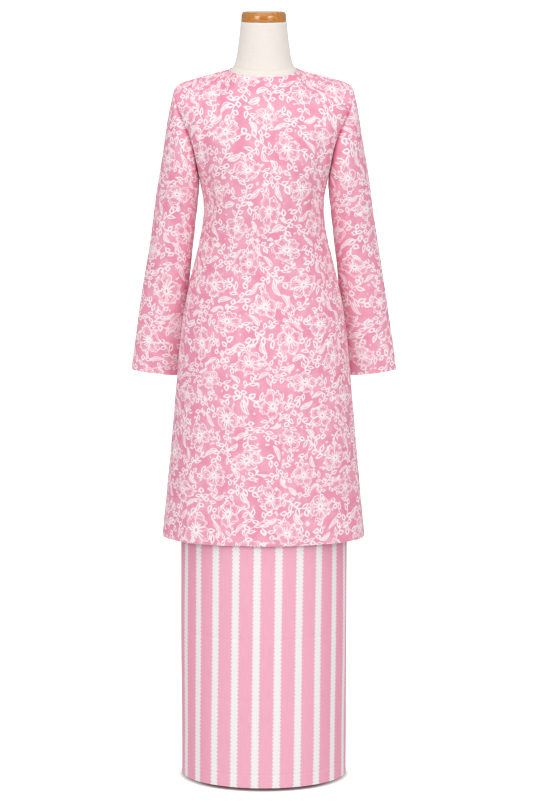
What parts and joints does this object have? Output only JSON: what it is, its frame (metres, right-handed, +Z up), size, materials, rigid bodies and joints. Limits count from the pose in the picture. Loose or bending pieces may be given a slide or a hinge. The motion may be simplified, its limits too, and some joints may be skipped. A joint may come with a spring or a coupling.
{
  "type": "baju kurung on a dress form",
  "caption": "Collarless knee-length tunic with long set-in sleeves over a straight floor-length skirt, filled out by a limbless dress form with a wooden neck cap on a pole and round base",
  "frame": {"origin": "on the floor, under the middle of the dress form", "axes": "+Z is up, the front of the garment faces -Y, and +X is the wearer's left"},
  "size_m": [0.5676, 0.294, 1.6391],
  "materials": {
    "tunic_print": "matt printed cotton",
    "skirt_stripe": "matt striped cotton",
    "waistband": "matt plain cotton",
    "form_linen": "matt linen",
    "cap_wood": "gloss varnish",
    "stand_steel": "satin"
  },
  "bodies": {
    "root": {"tunic_front": "tunic_print", "tunic_back": "tunic_print", "sleeve_left": "tunic_print", "sleeve_right": "tunic_print", "skirt_front": "skirt_stripe", "skirt_back": "skirt_stripe", "skirt_waistband": "waistband", "form_torso": "form_linen", "form_neck_cap": "cap_wood", "form_pole": "stand_steel", "form_base": "stand_steel"}
  },
  "joints": []
}
